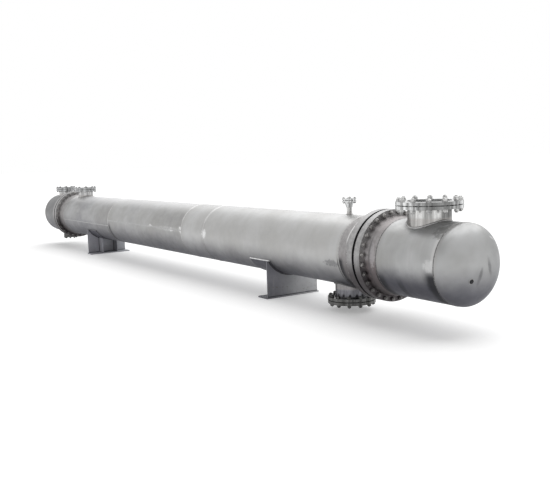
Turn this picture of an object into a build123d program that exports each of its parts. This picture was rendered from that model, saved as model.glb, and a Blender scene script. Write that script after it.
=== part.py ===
from build123d import *

import os
from math import cos, radians, sin, sqrt

# Shell and tube heat exchanger lying on two saddles. X runs along the shell, +X to the front
# channel, Z is up from the floor, and the origin is on the floor under the middle of the length.
# All lengths are in millimetres and all angles in degrees.

# Shell
shell_outer_d = 600.0
shell_wall = 10.0
shell_underside_height = 212.0
front_course_length = 2367.0
short_course_length = 518.0
rear_course_length = 1931.0

# Tubes, which set the length between the two tubesheets
tube_length = 7700.0
tube_outer_d = 57.0
tube_wall = 3.5
tube_pitch = 74.0
tube_projection = 6.0
tube_hole_clearance = 0.2
bundle_edge_gap = 8.0

# Girth joints, where a tubesheet is held between a shell flange and a channel flange
tubesheet_margin = 16.0
tubesheet_thickness = 48.0
tubesheet_clearance = 1.0
girth_flange_thickness = 66.0
girth_hub_margin = 20.0
channel_hub_length = 119.0
shell_hub_length = 194.0
girth_bolt_margin = 42.0
girth_rim_margin = 22.0
girth_bolt_count = 28
girth_bolt_hole_d = 23.0
girth_rim_gap = 20.0
girth_gasket_thickness = 3.0
girth_gasket_width = 24.0

# Channels with dished ends, the front one the longer
front_barrel_length = 608.0
rear_barrel_length = 498.0
head_straight_length = 20.0
head_depth_share = 0.5

# Values that all nozzles share
raised_face_height = 2.0
raised_face_margin = 7.0
nozzle_gasket_thickness = 3.0
nozzle_gasket_inset = 3.0
companion_pipe_clearance = 1.5

# Front channel nozzle, on top
front_nozzle_offset = 465.0
front_nozzle_projection = 115.0
front_nozzle_pipe_d = 325.0
front_nozzle_pipe_wall = 9.0
front_nozzle_flange_d = 505.0
front_nozzle_flange_thickness = 24.0
front_nozzle_bolt_circle_d = 448.0
front_nozzle_bolt_count = 12
front_nozzle_bolt_hole_d = 26.0

# Rear channel nozzle, on top
rear_nozzle_offset = 475.0
rear_nozzle_projection = 94.0
rear_nozzle_pipe_d = 219.0
rear_nozzle_pipe_wall = 8.0
rear_nozzle_flange_d = 308.0
rear_nozzle_flange_thickness = 24.0
rear_nozzle_bolt_circle_d = 270.0
rear_nozzle_bolt_count = 8
rear_nozzle_bolt_hole_d = 18.0

# Rear channel drain, underneath
drain_offset = 385.0
drain_projection = 72.0
drain_pipe_d = 114.0
drain_pipe_wall = 6.0
drain_flange_d = 220.0
drain_flange_thickness = 20.0
drain_bolt_circle_d = 180.0
drain_bolt_count = 8
drain_bolt_hole_d = 18.0

# Shell inlet, on top at the rear
inlet_offset = 515.0
inlet_projection = 102.0
inlet_pipe_d = 219.0
inlet_pipe_wall = 8.0
inlet_flange_d = 320.0
inlet_flange_thickness = 24.0
inlet_bolt_circle_d = 280.0
inlet_bolt_count = 8
inlet_bolt_hole_d = 18.0

# Shell outlet, underneath at the front
outlet_offset = 490.0
outlet_projection = 118.0
outlet_pipe_d = 273.0
outlet_pipe_wall = 8.0
outlet_flange_d = 408.0
outlet_flange_thickness = 24.0
outlet_bolt_circle_d = 360.0
outlet_bolt_count = 12
outlet_bolt_hole_d = 22.0

# Shell vent, on top above the outlet
vent_projection = 118.0
vent_pipe_d = 48.0
vent_pipe_wall = 4.0
vent_flange_d = 125.0
vent_flange_thickness = 11.0
vent_bolt_circle_d = 95.0
vent_bolt_count = 4
vent_bolt_hole_d = 14.0
vent_hub_d = 82.0
vent_hub_length = 46.0
vent_hub_tip = 2.0

# Saddles: the web stands at the outer edge and the ribs behind it point to mid-length
front_saddle_offset = 1390.0
rear_saddle_offset = 1291.0
saddle_wrap_angle = 118.0
saddle_pad_length = 350.0
saddle_pad_overhang = 20.0
saddle_pad_thickness = 8.0
saddle_web_thickness = 10.0
saddle_web_margin = 18.0
saddle_base_end_lip = 14.0
saddle_base_width = 160.0
saddle_base_thickness = 14.0
saddle_base_lip = 6.0
saddle_rib_inset = 171.0
saddle_rib_thickness = 10.0
saddle_bolt_inset = 78.0
saddle_bolt_hole_d = 24.0
saddle_slot_length = 44.0

# Overrun of every cut past the face that it goes through
cut_overrun = 5.0

# Sizes that follow from those above
full_turn = 360.0
quarter_turn = full_turn / 4
shell_outer_r = shell_outer_d / 2
shell_inner_r = shell_outer_r - shell_wall
axis_height = shell_underside_height + shell_outer_r
tubesheet_r = shell_outer_r + tubesheet_margin
girth_hub_r = shell_outer_r + girth_hub_margin
girth_bolt_circle_r = shell_outer_r + girth_bolt_margin
girth_rim_r = girth_bolt_circle_r + girth_rim_margin
joint_x = tube_length / 2 - tube_projection - tubesheet_thickness / 2
gasket_stack = tubesheet_thickness + 2 * girth_gasket_thickness
recess_depth = (gasket_stack - girth_rim_gap) / 2
flange_face = girth_rim_gap / 2
flange_back = flange_face + girth_flange_thickness
channel_hub_end = flange_back + channel_hub_length
shell_hub_end = flange_back + shell_hub_length
recess_floor = flange_face + recess_depth
front_barrel_end = channel_hub_end + front_barrel_length
rear_barrel_end = channel_hub_end + rear_barrel_length
middle_x = (front_barrel_end - rear_barrel_end) / 2
shell_end_x = joint_x - shell_hub_end


def turned_x(corners):
    """A body of revolution about the shell axis, from its (x, radius) corners."""
    return revolve(make_face(Polyline(*corners, close=True)), Axis.X)


def turned_z(corners):
    """A body of revolution about an upright axis, from its (radius, z) corners."""
    return revolve(Plane.XZ * make_face(Polyline(*corners, close=True)), Axis.Z)


def upright_drills(circle_d, count, hole_d, low, high):
    """Cutters for bolt holes on a circle, set half a step off the main axes."""
    step = full_turn / count
    length = high - low + 2 * cut_overrun
    drill = Pos(circle_d / 2, 0, (low + high) / 2) * Cylinder(hole_d / 2, length)
    return [Rot(Z=step * index + step / 2) * drill for index in range(count)]


def lying_cylinder(radius, length):
    """A solid cylinder about the shell axis, centred at mid-length."""
    return Rot(Y=quarter_turn) * Cylinder(radius, length)


def rear(piece):
    """The mirror image of a front piece at the rear end."""
    return mirror(piece, about=Plane.YZ)


def girth_flange(hub_end):
    """Welding-neck flange beside a joint whose middle is at x = 0, with its hub running out to hub_end."""
    recess_r = tubesheet_r + tubesheet_clearance
    flange = turned_x(
        [
            (recess_floor, shell_inner_r),
            (hub_end, shell_inner_r),
            (hub_end, shell_outer_r),
            (flange_back, girth_hub_r),
            (flange_back, girth_rim_r),
            (flange_face, girth_rim_r),
            (flange_face, recess_r),
            (recess_floor, recess_r),
        ]
    )
    drills = upright_drills(
        2 * girth_bolt_circle_r, girth_bolt_count, girth_bolt_hole_d, flange_face, flange_back
    )
    return flange - [Rot(Y=quarter_turn) * drill for drill in drills]


def girth_gasket():
    """Flat ring between the tubesheet and the floor of a flange's recess."""
    outer_r = tubesheet_r
    inner_r = outer_r - girth_gasket_width
    low = tubesheet_thickness / 2
    high = low + girth_gasket_thickness
    return turned_x([(low, inner_r), (high, inner_r), (high, outer_r), (low, outer_r)])


def tube_places():
    """Tube centres (y, z) on a triangular pitch, as many as the shell holds."""
    limit = shell_inner_r - bundle_edge_gap - tube_outer_d / 2
    row_height = tube_pitch * sqrt(3) / 2
    rows = int(limit / row_height)
    columns = int(limit / tube_pitch) + 1
    places = []
    for row in range(-rows, rows + 1):
        shift = tube_pitch / 2 if row % 2 else 0
        for column in range(-columns, columns + 1):
            y, z = column * tube_pitch + shift, row * row_height
            if y * y + z * z <= limit * limit:
                places.append((y, z))
    return places


def tubesheet():
    """Round plate, drilled for the tubes, at a joint whose middle is at x = 0."""
    hole_r = tube_outer_d / 2 + tube_hole_clearance
    drill = lying_cylinder(hole_r, tubesheet_thickness + 2 * cut_overrun)
    plate = lying_cylinder(tubesheet_r, tubesheet_thickness)
    return plate - [Pos(0, y, z) * drill for y, z in tube_places()]


def tube_bundle():
    """Straight tubes from one tubesheet to the other."""
    outer_r = tube_outer_d / 2
    bore = lying_cylinder(outer_r - tube_wall, tube_length + 2 * cut_overrun)
    tube = lying_cylinder(outer_r, tube_length) - bore
    return [Pos(0, y, z) * tube for y, z in tube_places()]


def domed_plug(radius, depth):
    """Solid skirt from x = 0 and half ellipsoid after it."""
    outline = [
        Line((0, 0), (head_straight_length + depth, 0)),
        EllipticalCenterArc((head_straight_length, 0), depth, radius, arc_size=quarter_turn),
        Line((head_straight_length, radius), (0, radius)),
        Line((0, radius), (0, 0)),
    ]
    return revolve(make_face(outline), Axis.X)


def dished_head():
    """Half-ellipsoid end of even wall, with a short straight skirt that starts at x = 0."""
    inner_depth = shell_inner_r * head_depth_share
    outside = domed_plug(shell_outer_r, inner_depth + shell_wall)
    return outside - domed_plug(shell_inner_r, inner_depth)


def course(low_x, high_x):
    """Rolled cylinder between two places along the shell axis."""
    return turned_x(
        [
            (low_x, shell_inner_r),
            (high_x, shell_inner_r),
            (high_x, shell_outer_r),
            (low_x, shell_outer_r),
        ]
    )


def nozzle_hole(pipe_d, pipe_wall):
    """Cutter that opens the top of the shell under a nozzle."""
    bottom = (Align.CENTER, Align.CENTER, Align.MIN)
    return Cylinder(pipe_d / 2 - pipe_wall, shell_outer_d, align=bottom)


def ring_flange(bore_r, flange_d, thickness, circle_d, count, hole_d):
    """Flat ring flange with a raised face at z = 0 and its body below."""
    raised_r = (circle_d - hole_d) / 2 - raised_face_margin
    top = -raised_face_height
    low = top - thickness
    flange = turned_z(
        [
            (bore_r, low),
            (flange_d / 2, low),
            (flange_d / 2, top),
            (raised_r, top),
            (raised_r, 0),
            (bore_r, 0),
        ]
    )
    return flange - upright_drills(circle_d, count, hole_d, low, top)


def nozzle(pipe_d, pipe_wall, projection, flange_d, thickness, circle_d, count, hole_d):
    """Upright nozzle over the shell axis: neck, flange, gasket and companion flange."""
    pipe_r = pipe_d / 2
    bore_r = pipe_r - pipe_wall
    slip_r = pipe_r + companion_pipe_clearance
    raised_r = (circle_d - hole_d) / 2 - raised_face_margin
    gasket_inner_r = slip_r + nozzle_gasket_inset
    face_height = shell_outer_r + projection
    gasket_top = face_height + nozzle_gasket_thickness
    neck = turned_z([(bore_r, 0), (pipe_r, 0), (pipe_r, face_height), (bore_r, face_height)])
    neck -= lying_cylinder(shell_outer_r, pipe_d + 2 * cut_overrun)
    flange = ring_flange(pipe_r, flange_d, thickness, circle_d, count, hole_d)
    companion = mirror(
        ring_flange(slip_r, flange_d, thickness, circle_d, count, hole_d), about=Plane.XY
    )
    gasket = turned_z(
        [
            (gasket_inner_r, face_height),
            (raised_r, face_height),
            (raised_r, gasket_top),
            (gasket_inner_r, gasket_top),
        ]
    )
    return {
        "neck": neck,
        "flange": Pos(0, 0, face_height) * flange,
        "companion_flange": Pos(0, 0, gasket_top) * companion,
        "gasket": gasket,
    }


def vent_hub():
    """Tapered neck that runs from the back of the vent's flange down to its pipe."""
    pipe_r = vent_pipe_d / 2
    top = shell_outer_r + vent_projection - raised_face_height - vent_flange_thickness
    low = top - vent_hub_length
    return turned_z(
        [(pipe_r, low), (pipe_r + vent_hub_tip, low), (vent_hub_d / 2, top), (pipe_r, top)]
    )


def saddle(holes):
    """Front saddle with the outer face of its web at x = 0; holes cut the base plate."""
    pad_r = shell_outer_r + saddle_pad_thickness
    pad_end_x = saddle_pad_overhang
    pad_start_x = pad_end_x - saddle_pad_length
    half_wrap = radians(saddle_wrap_angle / 2)
    web_half = pad_r * sin(half_wrap) + saddle_web_margin
    web_top = -pad_r * cos(half_wrap)
    base_low = -axis_height
    base_top = base_low + saddle_base_thickness
    web_height = web_top - base_top
    web_mid = (web_top + base_top) / 2
    base_x = saddle_base_lip - saddle_base_width / 2
    base_half = web_half + saddle_base_end_lip
    rib_y = web_half - saddle_rib_inset
    bolt_y = base_half - saddle_bolt_inset
    rib_length = saddle_base_width - saddle_base_lip - saddle_web_thickness
    rib_x = -saddle_web_thickness - rib_length / 2
    drum = lying_cylinder(pad_r, 2 * saddle_base_width)
    pad_face = make_face(
        Polyline(
            (pad_start_x, shell_outer_r),
            (pad_end_x, shell_outer_r),
            (pad_end_x, pad_r),
            (pad_start_x, pad_r),
            close=True,
        )
    )
    pad = Rot(X=-quarter_turn - saddle_wrap_angle / 2) * revolve(
        pad_face, Axis.X, revolution_arc=saddle_wrap_angle
    )
    web = Pos(-saddle_web_thickness / 2, 0, web_mid) * Box(
        saddle_web_thickness, 2 * web_half, web_height
    )
    rib = Pos(rib_x, 0, web_mid) * Box(rib_length, saddle_rib_thickness, web_height)
    ribs = [Pos(0, side * rib_y, 0) * rib - drum for side in (-1, 1)]
    plate = Pos(base_x, 0, (base_low + base_top) / 2) * Box(
        saddle_base_width, 2 * base_half, saddle_base_thickness
    )
    places = [Pos(rib_x, side * bolt_y, base_low) for side in (-1, 1)]
    return {
        "wear_pad": [pad],
        "web": [web - drum],
        "ribs": ribs,
        "base_plate": [plate - [place * holes for place in places]],
    }


# Cutters for the saddle bolts: round at the fixed front saddle, slotted at the sliding rear one
saddle_cut_height = 2 * (saddle_base_thickness + cut_overrun)
round_hole = Cylinder(saddle_bolt_hole_d / 2, saddle_cut_height)
slot_hole = extrude(
    SlotOverall(saddle_slot_length, saddle_bolt_hole_d), saddle_cut_height / 2, both=True
)

# Nozzles, each about an upright axis through its own place
front_nozzle = nozzle(
    front_nozzle_pipe_d,
    front_nozzle_pipe_wall,
    front_nozzle_projection,
    front_nozzle_flange_d,
    front_nozzle_flange_thickness,
    front_nozzle_bolt_circle_d,
    front_nozzle_bolt_count,
    front_nozzle_bolt_hole_d,
)
rear_nozzle = nozzle(
    rear_nozzle_pipe_d,
    rear_nozzle_pipe_wall,
    rear_nozzle_projection,
    rear_nozzle_flange_d,
    rear_nozzle_flange_thickness,
    rear_nozzle_bolt_circle_d,
    rear_nozzle_bolt_count,
    rear_nozzle_bolt_hole_d,
)
drain = nozzle(
    drain_pipe_d,
    drain_pipe_wall,
    drain_projection,
    drain_flange_d,
    drain_flange_thickness,
    drain_bolt_circle_d,
    drain_bolt_count,
    drain_bolt_hole_d,
)
inlet = nozzle(
    inlet_pipe_d,
    inlet_pipe_wall,
    inlet_projection,
    inlet_flange_d,
    inlet_flange_thickness,
    inlet_bolt_circle_d,
    inlet_bolt_count,
    inlet_bolt_hole_d,
)
outlet = nozzle(
    outlet_pipe_d,
    outlet_pipe_wall,
    outlet_projection,
    outlet_flange_d,
    outlet_flange_thickness,
    outlet_bolt_circle_d,
    outlet_bolt_count,
    outlet_bolt_hole_d,
)
vent = nozzle(
    vent_pipe_d,
    vent_pipe_wall,
    vent_projection,
    vent_flange_d,
    vent_flange_thickness,
    vent_bolt_circle_d,
    vent_bolt_count,
    vent_bolt_hole_d,
)
vent["flange"] += vent_hub()
underneath = Rot(X=full_turn / 2)
front_nozzle_place = Pos(joint_x + front_nozzle_offset, 0, 0)
rear_nozzle_place = Pos(-joint_x - rear_nozzle_offset, 0, 0)
drain_place = Pos(-joint_x - drain_offset, 0, 0) * underneath
inlet_place = Pos(-joint_x + inlet_offset, 0, 0)
outlet_place = Pos(joint_x - outlet_offset, 0, 0) * underneath
vent_place = Pos(joint_x - outlet_offset, 0, 0)

nodes = {}
nozzle_gaskets = []
placed_nozzles = [
    ("front_nozzle", front_nozzle, front_nozzle_place),
    ("rear_nozzle", rear_nozzle, rear_nozzle_place),
    ("rear_drain", drain, drain_place),
    ("shell_inlet", inlet, inlet_place),
    ("shell_outlet", outlet, outlet_place),
    ("shell_vent", vent, vent_place),
]
for name, pieces, place in placed_nozzles:
    nodes[name + "_neck"] = place * pieces["neck"]
    nodes[name + "_flange"] = place * pieces["flange"]
    nodes[name + "_companion_flange"] = place * pieces["companion_flange"]
    nozzle_gaskets.append(place * pieces["gasket"])
nodes["nozzle_gaskets"] = nozzle_gaskets

# Shell courses, open under the three shell nozzles
front_seam_x = shell_end_x - front_course_length
short_seam_x = front_seam_x - short_course_length
rear_seam_x = rear_course_length - shell_end_x
nodes["shell_front_course"] = course(front_seam_x, shell_end_x) - [
    outlet_place * nozzle_hole(outlet_pipe_d, outlet_pipe_wall),
    vent_place * nozzle_hole(vent_pipe_d, vent_pipe_wall),
]
nodes["shell_short_course"] = course(short_seam_x, front_seam_x)
nodes["shell_middle_course"] = course(rear_seam_x, short_seam_x)
nodes["shell_rear_course"] = course(-shell_end_x, rear_seam_x) - (
    inlet_place * nozzle_hole(inlet_pipe_d, inlet_pipe_wall)
)

# Channels, each a barrel with a dished end, open under its nozzles
to_front = Pos(joint_x, 0, 0)
front_barrel = to_front * course(channel_hub_end, front_barrel_end)
rear_barrel = rear(to_front * course(channel_hub_end, rear_barrel_end))
nodes["front_channel_barrel"] = front_barrel - front_nozzle_place * nozzle_hole(
    front_nozzle_pipe_d, front_nozzle_pipe_wall
)
nodes["rear_channel_barrel"] = rear_barrel - [
    rear_nozzle_place * nozzle_hole(rear_nozzle_pipe_d, rear_nozzle_pipe_wall),
    drain_place * nozzle_hole(drain_pipe_d, drain_pipe_wall),
]
head = dished_head()
nodes["front_head"] = Pos(joint_x + front_barrel_end, 0, 0) * head
nodes["rear_head"] = rear(Pos(joint_x + rear_barrel_end, 0, 0) * head)

# Girth joints
front_channel_flange = to_front * girth_flange(channel_hub_end)
front_shell_flange = to_front * rear(girth_flange(shell_hub_end))
nodes["front_channel_flange"] = front_channel_flange
nodes["front_shell_flange"] = front_shell_flange
nodes["rear_channel_flange"] = rear(front_channel_flange)
nodes["rear_shell_flange"] = rear(front_shell_flange)
nodes["front_tubesheet"] = to_front * tubesheet()
nodes["rear_tubesheet"] = rear(nodes["front_tubesheet"])
front_gaskets = [to_front * girth_gasket(), to_front * rear(girth_gasket())]
nodes["girth_gaskets"] = front_gaskets + [rear(gasket) for gasket in front_gaskets]
nodes["tube_bundle"] = tube_bundle()

# Saddles
front_saddle_place = Pos(joint_x - front_saddle_offset, 0, 0)
rear_saddle_place = Pos(joint_x - rear_saddle_offset, 0, 0)
for name, pieces in saddle(round_hole).items():
    nodes["front_saddle_" + name] = [front_saddle_place * piece for piece in pieces]
for name, pieces in saddle(slot_hole).items():
    nodes["rear_saddle_" + name] = [rear(rear_saddle_place * piece) for piece in pieces]

os.makedirs("parts", exist_ok=True)
to_floor = Pos(-middle_x, 0, axis_height)
for name, pieces in nodes.items():
    solids = pieces if isinstance(pieces, list) else [pieces]
    export_step(Compound(children=[to_floor * solid for solid in solids]), f"parts/{name}.step")
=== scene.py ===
"""Finishes, bolting and welds of a shell and tube heat exchanger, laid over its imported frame."""
from collections import namedtuple
from math import cos, pi, radians, sin

import bmesh
import bpy
import numpy as np
from mathutils import Matrix, Vector


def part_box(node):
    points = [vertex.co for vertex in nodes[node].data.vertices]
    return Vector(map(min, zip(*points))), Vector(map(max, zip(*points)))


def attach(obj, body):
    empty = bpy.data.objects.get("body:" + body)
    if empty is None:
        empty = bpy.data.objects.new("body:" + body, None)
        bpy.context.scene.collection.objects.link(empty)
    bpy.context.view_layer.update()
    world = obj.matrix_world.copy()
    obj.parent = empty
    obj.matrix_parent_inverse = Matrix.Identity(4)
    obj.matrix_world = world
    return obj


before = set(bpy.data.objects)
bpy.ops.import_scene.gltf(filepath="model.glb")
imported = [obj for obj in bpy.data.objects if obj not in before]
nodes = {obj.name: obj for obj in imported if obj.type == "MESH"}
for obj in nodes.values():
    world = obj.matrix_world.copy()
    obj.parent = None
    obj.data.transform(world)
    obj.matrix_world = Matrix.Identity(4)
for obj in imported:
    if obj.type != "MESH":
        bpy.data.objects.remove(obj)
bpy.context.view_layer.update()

scene = bpy.context.scene

# Shell sizes read from the frame, in metres
course_low, course_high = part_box("shell_middle_course")
axis_z = (course_low.z + course_high.z) / 2
shell_r = (course_high.z - course_low.z) / 2
front_joint_x = (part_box("front_channel_flange")[0].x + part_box("front_shell_flange")[1].x) / 2
rear_joint_x = (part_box("rear_channel_flange")[1].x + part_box("rear_shell_flange")[0].x) / 2
gap_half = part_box("front_channel_flange")[0].x - front_joint_x

# Places of the girth seams along X, by end and by what the seam joins on
seam_x = {
    "front_head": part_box("front_channel_barrel")[1].x,
    "front_hub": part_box("front_channel_barrel")[0].x,
    "front_shell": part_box("shell_front_course")[1].x,
    "front_course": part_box("shell_front_course")[0].x,
    "short_course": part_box("shell_short_course")[0].x,
    "rear_course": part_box("shell_rear_course")[1].x,
    "rear_shell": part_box("shell_rear_course")[0].x,
    "rear_hub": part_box("rear_channel_barrel")[1].x,
    "rear_head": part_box("rear_channel_barrel")[0].x,
}

# Bolting sizes that the frame's boxes don't give
girth_grip = 0.152
nozzle_gasket = 0.003
thread_pitch = 0.003

# Nuts and studs, as shares of the stud's diameter, and a nut's round face as a share of its flats
nut_flat_share = 0.75
nut_height_share = 0.9
nut_corner_chamfer = 0.17
nut_flat_chamfer = 0.03
stud_chamfer = 0.12
stud_end_share = 0.40
nut_face_share = 0.93
bolt_sides = 12

# How far each nut is turned on from its neighbour's, on the high and the low side
high_nut_turn = radians(11)
low_nut_turn = radians(-17)

# Bolt circle radius, bolts, stud diameter and stud end past its nut
# A nozzle's row goes on with its look, and with 1 if it points up or -1 if it points down
girth_bolting = (shell_r + 0.042, 28, 0.020, 0.006)
nozzles = {
    "front_nozzle": (0.224, 12, 0.024, 0.008, "bright", 1),
    "rear_nozzle": (0.135, 8, 0.016, 0.004, "dull", 1),
    # the drain and the outlet are darkened by staining and by painted shade
    "rear_drain": (0.090, 8, 0.016, 0.004, "stained_and_shaded", -1),
    "shell_inlet": (0.140, 8, 0.016, 0.004, "dull", 1),
    "shell_outlet": (0.180, 12, 0.020, 0.005, "stained_and_shaded", -1),
    "shell_vent": (0.0475, 4, 0.012, 0.003, "bright", 1),
}

# Saddle and head sizes
saddle_wrap = radians(118)
saddle_pad_thickness = 0.008
saddle_rib_y = 0.111
saddle_rib_thickness = 0.010
head_skirt = 0.020

# Weld sizes
seam_width = 0.016
narrow_seam_width = 0.010
plate_seam_width = 0.013
seam_height = 0.0028
plate_seam_height = 0.0022
seam_sink = 0.0006
seam_root = 0.003
nozzle_weld_leg = 0.012
nozzle_weld_share = 0.25
flange_weld_leg = 0.008
saddle_weld_leg = 0.007
pad_weld_leg = 0.011
web_weld_inset = 0.004
rib_weld_inset = 0.003
bead_sharp_angle = radians(70)
edge_sharp_angle = radians(35)

# Pitches of a bead's ripples, of its two slow waves and of its wander from side to side
ripple_pitch = 0.008
slow_pitch = 0.086
slower_pitch = 0.203
wander_pitch = 0.33

# Their shares of a bead's height or width, and a fillet's bulge, draw-in and root as shares of its leg
scallop_share = 0.12
slow_share = 0.04
slower_share = 0.05
wander_share = 0.06
fillet_bulge = 0.35
fillet_draw_in = 0.2
fillet_root = 0.25

# How far heat colours reach from a seam and from a nozzle's foot
seam_heat_reach = 0.045
foot_heat_reach = 0.035

# Heights from the axis between which the painted shade grows on the girth flanges and their bolts
rim_film_start = 0.05
rim_film_end = -0.17


def grid_quads(rows, columns, close_rows=False):
    """Corner numbers of the quads between neighbouring rows of points, each row a closed ring."""
    row = np.arange(rows if close_rows else rows - 1)[:, None]
    column = np.arange(columns)[None, :]
    next_row = (row + 1) % rows
    next_column = (column + 1) % columns
    corners = [
        row * columns + column,
        next_row * columns + column,
        next_row * columns + next_column,
        row * columns + next_column,
    ]
    return np.stack(corners, -1).reshape(-1, 4)


def end_caps(rows, columns):
    """Corner numbers of the two faces that close the first and the last row of a grid of points."""
    return np.arange(columns) + np.array([[0], [(rows - 1) * columns]])


def rings_about(radii, levels, sides):
    """Rings of points about Z, with a radius and a level for each ring or for each point."""
    turn = np.arange(sides) * 2 * pi / sides
    return np.stack([radii * np.cos(turn), radii * np.sin(turn), levels + 0 * turn], -1)


def everywhere(direction, path):
    """One direction at each point of a path."""
    return np.broadcast_to(np.array(direction, float), path.shape)


def new_object(name, data):
    """An object in the scene."""
    made = bpy.data.objects.new(name, data)
    scene.collection.objects.link(made)
    return made


def add_piece(name, points, faces, material, sharp_angle):
    """A mesh piece of the object from its points and faces, turned outwards and riding on the frame."""
    mesh = bpy.data.meshes.new(name)
    mesh.from_pydata(points.tolist(), [], faces)
    shape = bmesh.new()
    shape.from_mesh(mesh)
    bmesh.ops.recalc_face_normals(shape, faces=shape.faces)
    shape.to_mesh(mesh)
    shape.free()
    mesh.polygons.foreach_set("use_smooth", np.ones(len(mesh.polygons), bool))
    mesh.set_sharp_from_angle(angle=sharp_angle)
    mesh.materials.append(material)
    piece = new_object(name, mesh)
    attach(piece, "root")


# Node building

Spot = namedtuple("Spot", "place along across up")


def add_node(tree, kind, **settings):
    """A shader node of that kind, with its settings."""
    made = tree.nodes.new("ShaderNode" + kind)
    for key, value in settings.items():
        setattr(made, key, value)
    return made


def feed(tree, source, socket):
    """Joins a socket to another, or writes a plain value into it."""
    if isinstance(source, bpy.types.NodeSocket):
        tree.links.new(source, socket)
    else:
        socket.default_value = source


def maths(tree, operation, *sources):
    """One step of arithmetic."""
    made = add_node(tree, "Math", operation=operation)
    for source, socket in zip(sources, made.inputs):
        feed(tree, source, socket)
    return made.outputs[0]


def product(tree, first, second):
    """Two values multiplied."""
    return maths(tree, "MULTIPLY", first, second)


def scaled(tree, value, by, plus):
    """A value multiplied, and another added."""
    return maths(tree, "MULTIPLY_ADD", value, by, plus)


def offset(tree, value, middle):
    """How far a value is past a middle."""
    return maths(tree, "SUBTRACT", value, middle)


def sum_of_squares(tree, first, second):
    """Two values squared and added."""
    return scaled(tree, first, first, product(tree, second, second))


def ease(tree, value, low, high, to_low=0.0, to_high=1.0):
    """A smooth step from one level to another while the value goes from low to high."""
    made = add_node(tree, "MapRange", interpolation_type="SMOOTHSTEP")
    for source, socket in zip((value, low, high, to_low, to_high), made.inputs):
        feed(tree, source, socket)
    return made.outputs[0]


def noise(tree, vector, detail, roughness, scale=1.0):
    """Cloudy noise from 0 to 1."""
    made = add_node(tree, "TexNoise")
    feed(tree, vector, made.inputs["Vector"])
    made.inputs["Scale"].default_value = scale
    made.inputs["Detail"].default_value = detail
    made.inputs["Roughness"].default_value = roughness
    return made.outputs[0]


def stretched(tree, vector, scale):
    """The vector with each of its directions scaled by its own amount."""
    made = add_node(tree, "VectorMath", operation="MULTIPLY")
    feed(tree, vector, made.inputs[0])
    made.inputs[1].default_value = scale
    return made.outputs[0]


def joined(tree, *parts):
    """A vector from its scaled parts, each a value with its scale."""
    made = add_node(tree, "CombineXYZ")
    for (value, scale), socket in zip(parts, made.inputs):
        feed(tree, product(tree, value, scale), socket)
    return made.outputs[0]


def mix(tree, factor, first, second, blend="MIX"):
    """Two colours mixed by a factor."""
    made = add_node(tree, "Mix", data_type="RGBA", blend_type=blend)
    feed(tree, factor, made.inputs["Factor"])
    for source, socket in zip((first, second), (made.inputs[6], made.inputs[7])):
        feed(tree, source if isinstance(source, bpy.types.NodeSocket) else (*source, 1.0), socket)
    return made.outputs[2]


def toned(tree, colour, value):
    """A colour made lighter or darker by a factor."""
    grey = add_node(tree, "CombineColor")
    for socket in grey.inputs[:3]:
        tree.links.new(value, socket)
    return mix(tree, 1.0, colour, grey.outputs[0], "MULTIPLY")


def object_place(tree):
    """The place on the object, and its parts along, across and up."""
    place = add_node(tree, "TexCoord").outputs["Object"]
    split = add_node(tree, "SeparateXYZ")
    tree.links.new(place, split.inputs[0])
    return Spot(place, *split.outputs)


# Effects that several finishes share

def new_group(name, **inputs):
    """An empty node group with number inputs."""
    group = bpy.data.node_groups.new(name, "ShaderNodeTree")
    for label, value in inputs.items():
        socket = group.interface.new_socket(label, in_out="INPUT", socket_type="NodeSocketFloat")
        socket.default_value = value
    return group, group.nodes.new("NodeGroupInput").outputs


def close_group(group, **outputs):
    """Gives a node group its outputs, which are numbers, or a colour where so named."""
    for label in outputs:
        kind = "NodeSocketColor" if label == "Colour" else "NodeSocketFloat"
        group.interface.new_socket(label, in_out="OUTPUT", socket_type=kind)
    end = group.nodes.new("NodeGroupOutput")
    for label, value in outputs.items():
        group.links.new(value, end.inputs[label])
    return group


def use_group(tree, group, **values):
    """A node group placed in a material, with its own values."""
    made = add_node(tree, "Group", node_tree=group)
    for label, value in values.items():
        feed(tree, value, made.inputs[label])
    return made.outputs


def brushed_group():
    """Brush marks round the shell: noise that is fine along X and long across it, with soft wide bands."""
    group, start = new_group("brush_marks_round", Fine=260.0, Wide=9.0)
    spot = object_place(group)
    marks = []
    for label, swing, detail in (("Fine", 5.0, 4.0), ("Wide", 1.6, 3.0)):
        place = joined(group, (spot.along, start[label]), (spot.across, swing), (spot.up, swing))
        marks.append(noise(group, place, detail, 0.6))
    fine, wide = marks
    tone = scaled(group, wide, 0.55, product(group, fine, 0.45))
    return close_group(group, Tone=tone, Height=fine)


def clouds_group():
    """Uneven pickling: large soft clouds, finer blotches and thin runs down the sides."""
    group, start = new_group("pickling_clouds", Scale=2.2)
    place = object_place(group).place
    sized = add_node(group, "VectorMath", operation="SCALE")
    group.links.new(place, sized.inputs[0])
    group.links.new(start["Scale"], sized.inputs["Scale"])
    return close_group(
        group,
        Clouds=noise(group, sized.outputs[0], 3.0, 0.55),
        Blotches=noise(group, sized.outputs[0], 5.0, 0.62, 6.5),
        Runs=noise(group, stretched(group, place, (26.0, 26.0, 1.3)), 3.0, 0.6),
    )


def grime_group():
    """Painted shade on the underside: grows from the level of the axis to the bottom, with a cloudy edge."""
    group, start = new_group("underside_painted_shade", Start=0.06, End=-0.27)
    spot = object_place(group)
    sway = 0.12
    level = offset(group, offset(group, spot.up, axis_z), sway / 2)
    level = scaled(group, noise(group, spot.place, 4.0, 0.6, 3.2), sway, level)
    return close_group(group, Mask=ease(group, level, start["End"], start["Start"], 1.0, 0.0))


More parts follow.
